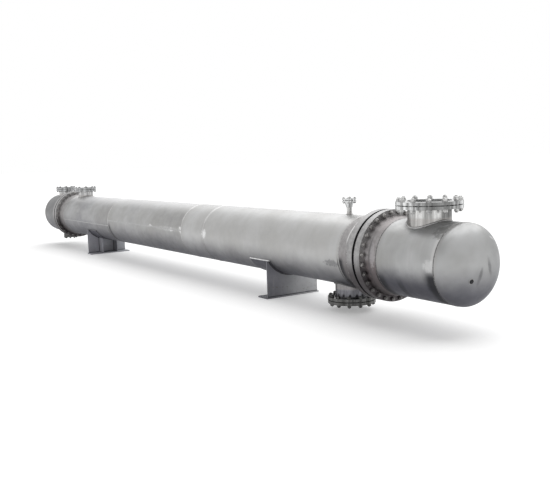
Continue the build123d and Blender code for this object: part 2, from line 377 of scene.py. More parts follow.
def tint_group():
    """Heat colours beside a weld, by distance from it: grey brown, then straw brown, then blue grey."""
    group, start = new_group("heat_colours", Distance=1.0, Reach=0.05)
    cloud = noise(group, object_place(group).place, 3.0, 0.6, 22.0)
    share = maths(group, "DIVIDE", start["Distance"], start["Reach"])
    share = product(group, share, scaled(group, cloud, 0.5, 0.75))
    ramp = add_node(group, "ValToRGB")
    group.links.new(share, ramp.inputs[0])
    tones = ramp.color_ramp.elements
    tones.new(0.45)
    for tone, colour in zip(tones, ((0.30, 0.285, 0.275), (0.33, 0.305, 0.29), (0.36, 0.37, 0.39))):
        tone.color = (*colour, 1.0)
    return close_group(group, Mask=ease(group, share, 0.35, 1.0, 1.0, 0.0), Colour=ramp.outputs[0])


brush_marks = brushed_group()
pickling = clouds_group()
underside = grime_group()
heat = tint_group()


# Masks of single marks, with heights and angles counted from the level of the axis

def nearest_seam(tree, along, places):
    """Distance along X to the nearest of some girth seams."""
    nearest = None
    for place in places:
        gap = maths(tree, "ABSOLUTE", offset(tree, along, place))
        nearest = gap if nearest is None else maths(tree, "MINIMUM", nearest, gap)
    return nearest


def ragged_oval(tree, place, first, second, first_half, second_half, scale, share):
    """Squared distance from the middle of an oval, one on its edge, made uneven by noise."""
    first, second = maths(tree, "DIVIDE", first, first_half), maths(tree, "DIVIDE", second, second_half)
    cloud = offset(tree, noise(tree, place, 4.0, 0.65, scale), 0.5)
    return scaled(tree, cloud, share, sum_of_squares(tree, first, second))


def side_patch(tree, spot, x, angle, half_length, half_height, strength):
    """Mask of an uneven patch on the shell's -Y side, at an angle in degrees."""
    side = offset(tree, spot.along, x)
    rise = offset(tree, spot.up, axis_z + shell_r * sin(radians(angle)))
    size = ragged_oval(tree, spot.place, side, rise, half_length, half_height, 45.0, 3.5)
    mask = ease(tree, size, 0.0, 1.2, strength, 0.0)
    return product(tree, mask, maths(tree, "LESS_THAN", spot.across, 0.0))


def end_scuff(tree, spot, y, height, half_width, half_length, lean):
    """Mask of a leaning streak on the head: an oval about a place across it and a height, broken up in spots.
    """
    rise = offset(tree, spot.up, axis_z + height)
    side = scaled(tree, rise, -lean, offset(tree, spot.across, y))
    size = ragged_oval(tree, spot.place, side, rise, half_width, half_length, 30.0, 1.2)
    return ease(tree, size, -0.2, 1.0, 0.60, 0.0)


def far_side(tree, spot, start, full, strength):
    """Mask that grows from one place across the object to another."""
    return ease(tree, spot.across, start, full, 0.0, strength)


def seam_band(tree, spot, x, before, after, none, full, strength):
    """Mask of a band before and after a girth seam, from none at one height to full at another."""
    uneven = scaled(tree, noise(tree, spot.place, 4.0, 0.6, 9.0), 0.6, 0.7)
    side = product(tree, offset(tree, spot.along, x), uneven)
    left = ease(tree, side, -before, -0.4 * before)
    right = ease(tree, side, 0.4 * after, after, 1.0, 0.0)
    low, high = axis_z + min(none, full), axis_z + max(none, full)
    ends = (0.0, strength) if full > none else (strength, 0.0)
    return product(tree, product(tree, left, right), ease(tree, spot.up, low, high, *ends))


# Finishes

dull_metal = 0.85
painted_metal = 0.25
run_tone = (0.30, 0.295, 0.28)
drift_tone = (0.17, 0.17, 0.185)
# Tone of the painted highlight along the top of the shell
washed_tone = (0.66, 0.66, 0.665)
# Tones of the painted shade low down on plates, girth flanges, bolts and welds
plate_film = (0.075, 0.075, 0.094)
girth_film = (0.042, 0.034, 0.038)
bolt_film = (0.04, 0.038, 0.04)
weld_film = (0.05, 0.05, 0.055)
ring_tone = (0.42, 0.42, 0.42)
# Brown staining of the girth hubs, laid on more strongly low down as painted shade
hub_stain = (0.187, 0.159, 0.160)
# Tone of the painted shade round a nozzle
smear_tone = (0.085, 0.085, 0.083)
paint_run = (0.46, 0.462, 0.465)
rust = (0.13, 0.085, 0.06)
# Pale tone for ground spots and light dashes at seams, and for painted highlights and a painted glint
bare = (0.80, 0.80, 0.80)
# Near black painted shadow under steps, below seams, on low sides and in the flange gap
dirt = (0.020, 0.020, 0.024)
# Dark tone for dark streaks, a smudge and a dark line on the hub, and for painted shade below seams
rubbed = (0.10, 0.10, 0.106)
shaded = (0.20, 0.20, 0.196)
# Bluish painted shade on the head's +Y side
head_far = (0.23, 0.24, 0.255)
# Lighter tone of upright stripes on the channel hub
worn_hub = (0.50, 0.48, 0.49)


def layered(tree, colour, *layers):
    """A colour with other tones laid over it in turn, each by its mask."""
    for mask, tone in layers:
        colour = mix(tree, mask, colour, tone)
    return colour


def laid_marks(tree, spot, marks):
    """Layers of marks, each given as a mask's function, a tone and the function's values."""
    return [(mask(tree, spot, *values), tone) for mask, tone, *values in marks]


def new_material(name):
    """An empty material and its node tree."""
    material = bpy.data.materials.new(name)
    material.use_nodes = True
    material.node_tree.nodes.clear()
    return material, material.node_tree


def new_finish(name):
    """An empty material, its node tree and the place on the object in it."""
    material, tree = new_material(name)
    return material, tree, object_place(tree)


def set_surface(material, colour, rough, height, strength, distance, metallic=1.0):
    """Gives a material one Principled shader, with a relief from a height."""
    tree = material.node_tree
    shader = add_node(tree, "BsdfPrincipled")
    bump = add_node(tree, "Bump")
    end = add_node(tree, "OutputMaterial")
    for source, socket in (
        (colour, shader.inputs["Base Color"]),
        (rough, shader.inputs["Roughness"]),
        (metallic, shader.inputs["Metallic"]),
        (height, bump.inputs["Height"]),
        (strength, bump.inputs["Strength"]),
        (distance, bump.inputs["Distance"]),
        (bump.outputs[0], shader.inputs["Normal"]),
        (shader.outputs[0], end.inputs[0]),
    ):
        feed(tree, source, socket)
    return material


def pickled_steel(
    name, light, dark, brushing=0.05, stains=0.0,
    film_start=0.02, film_end=-0.28, film_share=0.86, washed=0.0, marks=(),
):
    """Pickled plate: clouds, faint brush marks, heat colours at seams, painted shade on the underside and a
    painted highlight along the top.
    """
    material, tree, spot = new_finish(name)
    clouds = use_group(tree, pickling)
    brush = use_group(tree, brush_marks)
    film = use_group(tree, underside, Start=film_start, End=film_end)["Mask"]
    seam_gap = nearest_seam(tree, spot.along, seam_x.values())
    tints = use_group(tree, heat, Distance=seam_gap, Reach=seam_heat_reach)
    brushed = ease(tree, brush["Tone"], 0.32, 0.68, 1 - brushing, 1 + brushing)
    drifts = noise(tree, stretched(tree, spot.place, (1.6, 5.0, 5.0)), 4.0, 0.6)
    colour = mix(tree, ease(tree, clouds["Clouds"], 0.30, 0.70), dark, light)
    colour = layered(
        tree, toned(tree, colour, brushed),
        (ease(tree, clouds["Runs"], 0.62, 0.80, 0.0, 0.08), run_tone),
        (product(tree, tints["Mask"], 0.25), tints["Colour"]),
        (ease(tree, drifts, 0.46, 0.66, 0.0, stains), drift_tone),
        # painted highlight along the top
        (ease(tree, offset(tree, spot.up, axis_z), 0.20, 0.29, 0.0, washed), washed_tone),
        # painted shade low down
        (product(tree, film, film_share), plate_film),
        *laid_marks(tree, spot, marks),
    )
    rough = ease(tree, clouds["Blotches"], 0.3, 0.7, 0.38, 0.50)
    rough = scaled(tree, film, 0.12, rough)
    scratches = product(tree, brush["Height"], 3 * brushing)
    relief = scaled(tree, clouds["Blotches"], 0.8, scratches)
    return set_surface(material, colour, rough, relief, 0.22, 0.002, dull_metal)


def turned_rings(tree, first, second, level, across_scale, level_scale):
    """Noise in fine rings about an axis, from two parts across the axis and the level along it."""
    radius = maths(tree, "SQRT", sum_of_squares(tree, first, second))
    return noise(tree, joined(tree, (radius, across_scale), (level, level_scale)), 2.0, 0.5)


def girth_steel(marks):
    """Turned girth flanges: rings about the shell axis, brown staining on the hubs that grows towards the
    bottom as painted shade, painted shade low down, and painted shadow beside the gap.
    """
    material, tree, spot = new_finish("girth_steel_turned")
    clouds = use_group(tree, pickling, Scale=5.0)
    film = use_group(tree, underside, Start=rim_film_start, End=rim_film_end)["Mask"]
    height = offset(tree, spot.up, axis_z)
    rings = turned_rings(tree, height, spot.across, spot.along, 900.0, 500.0)
    blotches = ease(tree, clouds["Blotches"], 0.35, 0.65)
    off_middle = nearest_seam(tree, spot.along, (front_joint_x, rear_joint_x))
    hub = ease(tree, off_middle, 0.074, 0.080)
    half_run = (front_joint_x - rear_joint_x) / 2
    outer = maths(tree, "GREATER_THAN", maths(tree, "ABSOLUTE", spot.along), half_run)
    hub = product(tree, hub, scaled(tree, outer, 0.6, 0.4))
    # brown staining on the hubs, stronger towards the bottom as painted shade
    stain = product(tree, hub, ease(tree, height, -0.06, 0.12, 0.90, 0.55))
    stain = product(tree, stain, ease(tree, clouds["Clouds"], 0.25, 0.6, 0.6, 1.0))
    colour = layered(
        tree, mix(tree, blotches, (0.28, 0.275, 0.276), (0.41, 0.405, 0.404)),
        (ease(tree, rings, 0.35, 0.7, 0.0, 0.30), ring_tone),
        (stain, hub_stain),
        # painted shade low down, weaker on the hubs
        (product(tree, film, scaled(tree, hub, -0.40, 0.92)), girth_film),
        # painted shadow on the flange faces beside the gap
        (ease(tree, off_middle, gap_half, gap_half + 0.008, 0.9, 0.0), dirt),
        *laid_marks(tree, spot, marks),
    )
    rough = ease(tree, clouds["Blotches"], 0.3, 0.7, 0.38, 0.55)
    return set_surface(material, colour, rough, rings, 0.18, 0.0006, dull_metal)


def smeared(tree, colour, angle, bands, smears):
    """A colour darkened by painted shade about some angles round a nozzle, with edges broken up by its bands.
    """
    for middle, half_width, strength in smears:
        off = maths(tree, "ABSOLUTE", offset(tree, angle, middle))
        off = scaled(tree, bands, half_width, off)
        smear = ease(tree, off, 0.7 * half_width, 1.4 * half_width, strength, 0.0)
        colour = mix(tree, smear, colour, smear_tone)
    return colour


def machined_steel(name, centre_x, bright, dark, smears):
    """Machined flange: turned rings about its own upright axis, light and dark bands of painted reflection,
    and painted shade round it.
    """
    material, tree, spot = new_finish(name)
    side = offset(tree, spot.along, centre_x)
    angle = maths(tree, "ARCTAN2", spot.across, side)
    rings = turned_rings(tree, side, spot.across, spot.up, 1100.0, 700.0)
    # painted reflection: upright light and dark bands round the flange
    bands = noise(tree, joined(tree, (angle, 5.5), (spot.up, 2.0)), 4.0, 0.65)
    colour = mix(tree, ease(tree, bands, 0.36, 0.64), dark, bright)
    colour = mix(tree, ease(tree, rings, 0.3, 0.7, 0.0, 0.3), colour, bright)
    colour = smeared(tree, colour, angle, bands, smears)
    rough = ease(tree, bands, 0.3, 0.7, 0.30, 0.20)
    return set_surface(material, colour, rough, rings, 0.12, 0.0005)


def drawn_pipe(name, centre_x, bright, dark, smears):
    """Nozzle pipe with upright light and dark streaks of painted reflection, heat colour at its foot and
    painted shade round it.
    """
    material, tree, spot = new_finish(name)
    angle = maths(tree, "ARCTAN2", spot.across, offset(tree, spot.along, centre_x))
    # painted reflection: upright light and dark streaks round the pipe
    streaks = noise(tree, joined(tree, (angle, 3.0), (spot.up, 0.9)), 5.0, 0.7)
    level = maths(tree, "ABSOLUTE", offset(tree, spot.up, axis_z))
    foot = maths(tree, "MAXIMUM", offset(tree, level, shell_r), 0.0)
    tints = use_group(tree, heat, Distance=foot, Reach=foot_heat_reach)
    colour = mix(tree, ease(tree, streaks, 0.38, 0.62), dark, bright)
    colour = smeared(tree, colour, angle, streaks, smears)
    colour = mix(tree, product(tree, tints["Mask"], 0.5), colour, tints["Colour"])
    rough = ease(tree, streaks, 0.3, 0.7, 0.36, 0.24)
    return set_surface(material, colour, rough, streaks, 0.10, 0.0008)


def saddle_paint(name, near_tone, far_tone):
    """Grey plate, painted from shade at -Y to lighter at +Y, with mill blotches and rust freckles near the
    floor.
    """
    material, tree, spot = new_finish(name)
    clouds = use_group(tree, pickling, Scale=4.0)
    mottled = ease(tree, clouds["Clouds"], 0.3, 0.7, 0.88, 1.10)
    freckles = ease(tree, noise(tree, spot.place, 4.0, 0.6, 55.0), 0.60, 0.70)
    freckles = product(tree, freckles, ease(tree, spot.up, 0.02, 0.30, 0.50, 0.06))
    # painted shade from the -Y end to the lighter +Y end
    colour = mix(tree, ease(tree, spot.across, -0.26, 0.22), near_tone, far_tone)
    colour = layered(
        tree, toned(tree, colour, mottled),
        (ease(tree, clouds["Runs"], 0.58, 0.75, 0.0, 0.20), paint_run),
        (freckles, rust),
    )
    rough = ease(tree, clouds["Blotches"], 0.3, 0.7, 0.48, 0.66)
    return set_surface(material, colour, rough, clouds["Blotches"], 0.25, 0.002, painted_metal)


def graphite_sheet():
    """Matt black gasket sheet with a fine grain."""
    material, tree, spot = new_finish("gasket_graphite")
    grain = noise(tree, spot.place, 3.0, 0.6, 420.0)
    colour = mix(tree, grain, (0.012, 0.012, 0.013), (0.035, 0.035, 0.036))
    rough = ease(tree, grain, 0.3, 0.7, 0.72, 0.86)
    return set_surface(material, colour, rough, grain, 0.15, 0.0004, 0.0)


def tube_steel():
    """Drawn tubes, seen only through the nozzles."""
    material, tree, spot = new_finish("tube_drawn_steel")
    streaks = noise(tree, stretched(tree, spot.place, (3.0, 180.0, 180.0)), 3.0, 0.6)
    colour = mix(tree, streaks, (0.34, 0.34, 0.33), (0.48, 0.48, 0.47))
    rough = ease(tree, streaks, 0.3, 0.7, 0.32, 0.46)
    return set_surface(material, colour, rough, streaks, 0.1, 0.0005)


def bolt_steel(name, thread_way, bright, dark, film_share=0.0):
    """Nuts and studs: a fine thread wave along the stud, plated blotches and painted shade low down."""
    material, tree, spot = new_finish(name)
    blotches = noise(tree, spot.place, 4.0, 0.6, 60.0)
    colour = mix(tree, ease(tree, blotches, 0.35, 0.65), dark, bright)
    if film_share:
        film = use_group(tree, underside, Start=rim_film_start, End=rim_film_end)["Mask"]
        colour = mix(tree, product(tree, film, film_share), colour, bolt_film)
    rough = ease(tree, blotches, 0.3, 0.7, 0.42, 0.28)
    thread = maths(tree, "SINE", product(tree, getattr(spot, thread_way), 2 * pi / thread_pitch))
    return set_surface(material, colour, rough, thread, 0.35, 0.0006)


def weld_steel(name, bright, dark, film_share=0.8):
    """Weld metal: blotches of a bright and a dark tone with a fine grain, and painted shade low down."""
    material, tree, spot = new_finish(name)
    blotches = noise(tree, spot.place, 4.0, 0.65, 70.0)
    film = use_group(tree, underside)["Mask"]
    colour = mix(tree, ease(tree, blotches, 0.35, 0.65), dark, bright)
    colour = mix(tree, product(tree, film, film_share), colour, weld_film)
    rough = ease(tree, blotches, 0.3, 0.7, 0.46, 0.30)
    grain = noise(tree, spot.place, 3.0, 0.6, 260.0)
    return set_surface(material, colour, rough, grain, 0.2, 0.0006)


# Marks on the plates, each a mask, a tone and the mask's values; among them painted highlights on seam tops
# and painted shade and shadow low down
front_marks = [
    # painted highlight on the top of the seam
    (seam_band, bare, seam_x["front_course"], 0.026, 0.026, 0.12, 0.19, 0.55),
    # painted shade below the seam
    (seam_band, rubbed, seam_x["front_course"], 0.020, 0.020, 0.05, -0.16, 0.45),
    (side_patch, bare, seam_x["front_course"] + 0.03, 5.0, 0.055, 0.050, 0.85),
    (side_patch, rubbed, front_joint_x - 0.375, -14.0, 0.120, 0.032, 0.55),
    # painted shadow below the step at the shell hub's end
    (seam_band, dirt, seam_x["front_shell"], 0.026, 0.040, 0.01, -0.07, 0.85),
]
middle_marks = [
    # painted highlight on the top of the seam
    (seam_band, bare, seam_x["short_course"], 0.026, 0.026, 0.10, 0.17, 0.65),
    # painted shade below the seam
    (seam_band, rubbed, seam_x["short_course"], 0.020, 0.020, 0.05, -0.16, 0.45),
    # painted shadow below the step at the rear course seam
    (seam_band, dirt, seam_x["rear_course"], 0.030, 0.100, 0.02, -0.07, 0.85),
    (side_patch, bare, seam_x["short_course"], 6.0, 0.070, 0.045, 0.85),
    (side_patch, bare, seam_x["short_course"] - 0.35, 5.0, 0.400, 0.030, 0.16),
    (side_patch, bare, seam_x["short_course"] - 0.26, 4.4, 0.080, 0.022, 0.50),
    (side_patch, bare, seam_x["short_course"] - 0.85, 6.5, 0.060, 0.020, 0.60),
]
# Rear course: painted shadow below the step at its seam
rear_marks = [(seam_band, dirt, seam_x["rear_course"], 0.040, 0.030, 0.02, -0.07, 0.85)]
barrel_marks = [
    # painted highlight beside the head seam
    (side_patch, bare, seam_x["front_head"] - 0.045, 2.0, 0.070, 0.050, 0.30),
    # painted shade below the head seam on the barrel side
    (seam_band, dirt, seam_x["front_head"], 0.115, 0.020, -0.012, -0.075, 0.93),
    # painted highlight along the upper half of the head seam
    (seam_band, bare, seam_x["front_head"], 0.045, 0.010, -0.01, 0.05, 0.26),
    # painted shadow of the girth ring on the barrel's low side
    (seam_band, dirt, seam_x["front_hub"], 0.020, 0.085, -0.06, -0.16, 0.80),
    # painted shade on the barrel's low side
    (seam_band, dirt, front_joint_x + 0.420, 0.040, 0.040, -0.09, -0.19, 0.50),
    (side_patch, shaded, front_joint_x + 0.770, 55.0, 0.085, 0.055, 0.80),
]
girth_marks = [
    # lighter upright stripes on the channel hub
    (side_patch, worn_hub, front_joint_x + 0.160, 6.0, 0.030, 0.110, 0.38),
    (side_patch, worn_hub, front_joint_x + 0.100, 9.0, 0.018, 0.090, 0.45),
    # dark line across the channel hub's top
    (seam_band, rubbed, front_joint_x + 0.130, 0.009, 0.009, 0.24, 0.10, 0.50),
    # painted highlight on the top of the shell-side hub
    (seam_band, bare, front_joint_x - 0.165, 0.012, 0.012, 0.08, 0.15, 0.60),
    # painted shadow at the low ends of both hubs
    (seam_band, dirt, seam_x["front_shell"], 0.020, 0.085, 0.00, -0.05, 0.95),
    (seam_band, dirt, seam_x["front_hub"], 0.020, 0.020, -0.05, -0.13, 0.80),
]
head_marks = [
    # painted shade on the head's +Y side
    (far_side, head_far, 0.02, 0.24, 0.40),
    (seam_band, shaded, seam_x["front_head"], 0.030, 0.110, 0.04, 0.16, 0.50),
    # dark streaks on the head
    (end_scuff, rubbed, 0.074, -0.006, 0.024, 0.084, -0.22),
    (end_scuff, rubbed, -0.022, -0.066, 0.022, 0.080, 0.28),
    # painted glint on the head's upper right
    (end_scuff, bare, 0.155, 0.185, 0.018, 0.024, -1.5),
]

# Finishes on the frame's nodes, each of two tones
head_tones = ((0.435, 0.438, 0.441), (0.330, 0.329, 0.322))
shell_finish = pickled_steel(
    "shell_pickled_plate", (0.50, 0.502, 0.502), (0.425, 0.422, 0.415), 0.022, washed=0.10, marks=front_marks
)
middle_finish = pickled_steel(
    "middle_pickled_plate", (0.435, 0.436, 0.437), (0.352, 0.349, 0.341), 0.02, 0.20,
    film_start=0.07, washed=0.55, marks=middle_marks,
)
rear_finish = pickled_steel(
    "rear_pickled_plate", (0.405, 0.406, 0.411), (0.312, 0.309, 0.304), 0.02, 0.45,
    film_start=0.10, washed=0.60, marks=rear_marks,
)
barrel_finish = pickled_steel(
    "barrel_pickled_plate", *head_tones, film_end=-0.18, film_share=0.94, marks=barrel_marks
)
head_finish = pickled_steel(
    "head_pickled_plate", *head_tones, 0.0, film_start=0.04, film_end=-0.23, marks=head_marks
)
# Rear channel in about half the front channel's tones, as painted shade on the far end
rear_channel_finish = pickled_steel(
    "rear_channel_shaded_plate", (0.225, 0.226, 0.232), (0.165, 0.165, 0.167), 0.0
)
# Wear pads in darker tones than the shell, as painted shade on plates that face down
pad_finish = pickled_steel("pad_shaded_plate", (0.29, 0.29, 0.30), (0.22, 0.22, 0.23), film_end=-0.18)
girth_finish = girth_steel(girth_marks)
front_saddle_finish = saddle_paint("front_saddle_grey_plate", (0.215, 0.215, 0.24), (0.52, 0.525, 0.535))
rear_saddle_finish = saddle_paint("rear_saddle_grey_plate", (0.38, 0.38, 0.415), (0.42, 0.43, 0.455))
gasket_finish = graphite_sheet()
tube_finish = tube_steel()
# Tubesheet rim near black, as painted shadow in the gap between the girth flanges
plate_edge_finish = bolt_steel("tubesheet_shadow_plate", "along", (0.060, 0.057, 0.055), (0.020, 0.019, 0.019))
girth_bolt_finish = bolt_steel("girth_bolt_steel", "along", (0.45, 0.44, 0.43), (0.20, 0.193, 0.188), 0.55)
bolt_finish = {
    "bright": bolt_steel("nozzle_bolt_steel", "up", (0.62, 0.62, 0.61), (0.33, 0.33, 0.33)),
    "dull": bolt_steel("rear_bolt_steel", "up", (0.44, 0.44, 0.44), (0.20, 0.20, 0.20)),
    # bolts of the drain and outlet, darkened by staining and by painted shade
    "stained_and_shaded": bolt_steel("dull_bolt_steel", "up", (0.13, 0.13, 0.127), (0.04, 0.04, 0.039)),
}
seam_finish = weld_steel("seam_weld", (0.44, 0.437, 0.433), (0.33, 0.327, 0.323))
ground_seam_finish = weld_steel("ground_seam_weld", (0.56, 0.56, 0.56), (0.46, 0.46, 0.46))
plate_seam_finish = weld_steel("plate_seam_weld", (0.44, 0.44, 0.44), (0.35, 0.35, 0.35))
dark_seam_finish = weld_steel("dark_seam_weld", (0.23, 0.228, 0.225), (0.08, 0.08, 0.08))
# Pale welds on the front pad's edges as a painted highlight along the pad's top edge
pad_edge_finish = weld_steel("pad_edge_highlight_weld", (0.85, 0.85, 0.85), (0.60, 0.60, 0.61), film_share=0.0)
saddle_weld_finish = weld_steel("saddle_weld", (0.30, 0.30, 0.31), (0.16, 0.16, 0.165))
plug_finish = bolt_steel("plug_dark_steel", "along", (0.055, 0.055, 0.058), (0.022, 0.022, 0.024))


def finish_nodes(material, *names):
    """Puts a finish into the slot of some nodes of the frame."""
    for name in names:
        node_mesh = nodes[name].data
        node_mesh.materials.clear()
        node_mesh.materials.append(material)


finish_nodes(shell_finish, "shell_front_course", "shell_short_course")
finish_nodes(middle_finish, "shell_middle_course")
finish_nodes(rear_finish, "shell_rear_course")
finish_nodes(barrel_finish, "front_channel_barrel")
finish_nodes(head_finish, "front_head")
finish_nodes(rear_channel_finish, "rear_channel_barrel", "rear_head")
finish_nodes(gasket_finish, "girth_gaskets", "nozzle_gaskets")
finish_nodes(tube_finish, "tube_bundle")
for end, saddle_finish in (("front", front_saddle_finish), ("rear", rear_saddle_finish)):
    finish_nodes(girth_finish, end + "_channel_flange", end + "_shell_flange")
    # tubesheet rim near black as painted shadow
    finish_nodes(plate_edge_finish, end + "_tubesheet")
    finish_nodes(pad_finish, end + "_saddle_wear_pad")
    finish_nodes(saddle_finish, *(end + "_saddle_" + part for part in ("base_plate", "ribs", "web")))

# Light and dark tone of a nozzle's flanges, then of its pipe, between which the painted reflection bands and
# streaks run
nozzle_tones = {
    "bright": ((0.78, 0.79, 0.79), (0.25, 0.25, 0.25), (0.68, 0.68, 0.67), (0.265, 0.265, 0.258)),
    "dull": ((0.46, 0.465, 0.47), (0.15, 0.15, 0.152), (0.54, 0.54, 0.54), (0.32, 0.32, 0.32)),
    # drain and outlet tones, darkened by staining and by painted shade
    "stained_and_shaded": ((0.15, 0.15, 0.147), (0.027, 0.027, 0.025), (0.185, 0.185, 0.202), (0.125, 0.125, 0.135)),
}

# Painted shade round a nozzle, each patch as its middle angle, half width and strength
neck_smears = {"front_nozzle": ((radians(-100), radians(26), 0.40), (radians(26), radians(60), 0.90))}
rim_smears = {"front_nozzle": ((radians(-34), radians(76), 0.77),)}
for name, (*_, look, _) in nozzles.items():
    low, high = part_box(name + "_neck")
    middle_x = (low.x + high.x) / 2
    tones = nozzle_tones[look]
    flange_finish = machined_steel(name + "_machined", middle_x, *tones[:2], rim_smears.get(name, ()))
    finish_nodes(flange_finish, name + "_flange", name + "_companion_flange")
    pipe_finish = drawn_pipe(name + "_drawn_pipe", middle_x, *tones[2:], neck_smears.get(name, ()))
    finish_nodes(pipe_finish, name + "_neck")


# Bolting

def nut_rings(stud_d, base, top):
    """Hexagon nut as rings of points, at its corners and flats by turns, cut back by a cone at the top."""
    flat = np.arange(bolt_sides) % 2
    flat_r = nut_flat_share * stud_d
    hexagon = np.where(flat, flat_r, flat_r / cos(pi / 6))
    circle = np.full(bolt_sides, nut_face_share * flat_r)
    chamfer = np.where(flat, nut_flat_chamfer, nut_corner_chamfer) * stud_d * np.sign(top - base)
    levels = np.stack([np.full(bolt_sides, base), top - chamfer, np.full(bolt_sides, top)])
    return rings_about(np.stack([hexagon, hexagon, circle]), levels, bolt_sides)


def stud_rings(stud_d, low, high):
    """Stud as rings of points about its own axis, with chamfered ends."""
    chamfer = stud_chamfer * stud_d
    radii = np.array([stud_end_share, 0.5, 0.5, stud_end_share])[:, None] * stud_d
    levels = np.array([low, low + chamfer, high - chamfer, high])[:, None]
    return rings_about(radii, levels, bolt_sides)


def bolt_ring(name, centre, axes, bolting, grip, material):
    """Studs with a nut at each end on a bolt circle: one bolt is worked out, then turned about the axis.

    axes are two directions across the axis and the axis itself, and the grip's middle is the centre.
    """
    circle_r, count, stud_d, stud_tip = bolting
    half_grip = grip / 2
    nut = nut_height_share * stud_d
    reach = half_grip + nut + stud_tip
    solids = (
        (stud_rings(stud_d, -reach, reach), 0.0),
        (nut_rings(stud_d, half_grip, half_grip + nut), high_nut_turn),
        (nut_rings(stud_d, -half_grip, -half_grip - nut), low_nut_turn),
    )
    points, faces, first = [], [], 0
    for solid, own_turn in solids:
        rows, columns = solid.shape[:2]
        quads = grid_quads(rows, columns)
        for index in range(count):
            spin = own_turn * index
            angle = (index + 0.5) * 2 * pi / count
            u = solid[..., 0] * cos(spin) - solid[..., 1] * sin(spin) + circle_r
            v = solid[..., 0] * sin(spin) + solid[..., 1] * cos(spin)
            local = [u * cos(angle) - v * sin(angle), u * sin(angle) + v * cos(angle), solid[..., 2]]
            points.append(np.stack(local, -1).reshape(-1, 3))
            faces.extend((quads + first).tolist())
            faces.extend((end_caps(rows, columns) + first).tolist())
            first += rows * columns
    placed = np.concatenate(points) @ np.array(axes) + np.array(centre)
    add_piece(name, placed, faces, material, edge_sharp_angle)


lying_axes = ((0, 1, 0), (0, 0, 1), (1, 0, 0))
upright_axes = ((1, 0, 0), (0, 1, 0), (0, 0, 1))
for end, joint_x in (("front", front_joint_x), ("rear", rear_joint_x)):
    centre = (joint_x, 0, axis_z)
    name = end + "_girth_bolting"
    bolt_ring(name, centre, lying_axes, girth_bolting, girth_grip, girth_bolt_finish)
flange_backs = {}
for name, (*bolting, look, way) in nozzles.items():
    low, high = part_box(name + "_companion_flange")
    middle_x = (low.x + high.x) / 2
    outer = high.z if way > 0 else low.z
    grip = 2 * (high.z - low.z) + nozzle_gasket
    flange_backs[name] = (middle_x, 0, outer - way * grip)
    centre = (middle_x, 0, outer - way * grip / 2)
    bolt_ring(name + "_bolting", centre, upright_axes, bolting, grip, bolt_finish[look])


# Welds

def run_of(path, closed):
    """Share of the whole run at each point of a path, as an angle, and the run's length."""
    steps = np.linalg.norm(np.roll(path, -1, 0) - path, axis=1)
    length = np.concatenate([[0.0], np.cumsum(steps[:-1])])
    total = steps.sum() if closed else length[-1]
    return 2 * pi * length / total, total


def waves_in(total, pitch):
    """Whole number of waves of about that pitch in a run."""
    return max(1, round(total / pitch))


def ripple(turn, total, phase):
    """Height of a hand-laid bead along its run: scallops and two slow waves, each a whole number to it."""
    scallops, slow, slower = (waves_in(total, pitch) for pitch in (ripple_pitch, slow_pitch, slower_pitch))
    wave = np.abs(np.sin(scallops * turn / 2 + phase))
    height = 1 - scallop_share + scallop_share * wave
    height += slower_share * np.sin(slower * turn + phase) + slow_share * np.sin(slow * turn)
    return height[:, None, None]


def add_bead(name, face, root, closed, material):
    """A bead from its face, one row of points for each step of the run, each closed by a root point."""
    points = np.concatenate([face, root[:, None]], 1)
    rows, columns = points.shape[:2]
    faces = grid_quads(rows, columns, closed).tolist()
    if not closed:
        faces += end_caps(rows, columns).tolist()
    add_piece(name, points.reshape(-1, 3), faces, material, bead_sharp_angle)


def swept_bead(name, path, first_leg, second_leg, leg, closed, material, slot):
    """A bead carried along a path: its section runs from the first leg's end to the second's in a bulge.

    Each section point is path + leg * (cos(s) * first + sin(s) * second), bulged by the ripple, and a last
    point sunk behind the path closes the section.
    """
    turn, total = run_of(path, closed)
    s = np.linspace(0, pi / 2, 7)[None, :, None]
    bulge = leg * (1 + fillet_bulge * np.sin(2 * s) * ripple(turn, total, len(name)) - fillet_draw_in)
    face = path[:, None] + bulge * (np.cos(s) * first_leg[:, None] + np.sin(s) * second_leg[:, None])
    root = path - fillet_root * leg * (first_leg + second_leg)
    add_bead(name, face, root, closed, material)


def seam_bead(name, path, outward, sideways, closed, finish, width, height):
    """A low butt-weld bead: a rippled half ellipse over the plate, with its base sunk into the plate."""
    turn, total = run_of(path, closed)
    s = np.linspace(0, pi, 9)[None, :, None]
    wander = 1 + wander_share * np.sin(waves_in(total, wander_pitch) * turn)[:, None, None]
    rise = height * ripple(turn, total, len(name)) * np.sin(s) - seam_sink
    face = path[:, None] + rise * outward[:, None] + wander * width / 2 * np.cos(s) * sideways[:, None]
    add_bead(name, face, path - seam_root * outward, closed, finish)


def steps_for(length):
    """Number of path points that shows each ripple with four."""
    return max(8, int(4 * length / ripple_pitch))


def round_turn(radius):
    """Angles of the path points round a closed circle."""
    return np.linspace(0, 2 * pi, steps_for(2 * pi * radius), endpoint=False)


def girth_seam(name, x, finish, width):
    """Seam round the shell: a closed circle about its axis."""
    turn = round_turn(shell_r)
    outward = np.stack([0 * turn, np.cos(turn), np.sin(turn)], -1)
    path = shell_r * outward + np.array([x, 0, axis_z])
    seam_bead(name, path, outward, everywhere((1, 0, 0), path), True, finish, width, seam_height)


def plate_seam(name, start_x, end_x, angle):
    """Straight seam along a rolled plate, at an angle above the level of the axis on the -Y side."""
    along = np.linspace(start_x, end_x, steps_for(end_x - start_x))
    middle = np.stack([along, 0 * along, 0 * along + axis_z], -1)
    outward = everywhere((0, -cos(angle), sin(angle)), middle)
    sideways = everywhere((0, sin(angle), cos(angle)), middle)
    path = shell_r * outward + middle
    seam_bead(name, path, outward, sideways, False, plate_seam_finish, plate_seam_width, plate_seam_height)


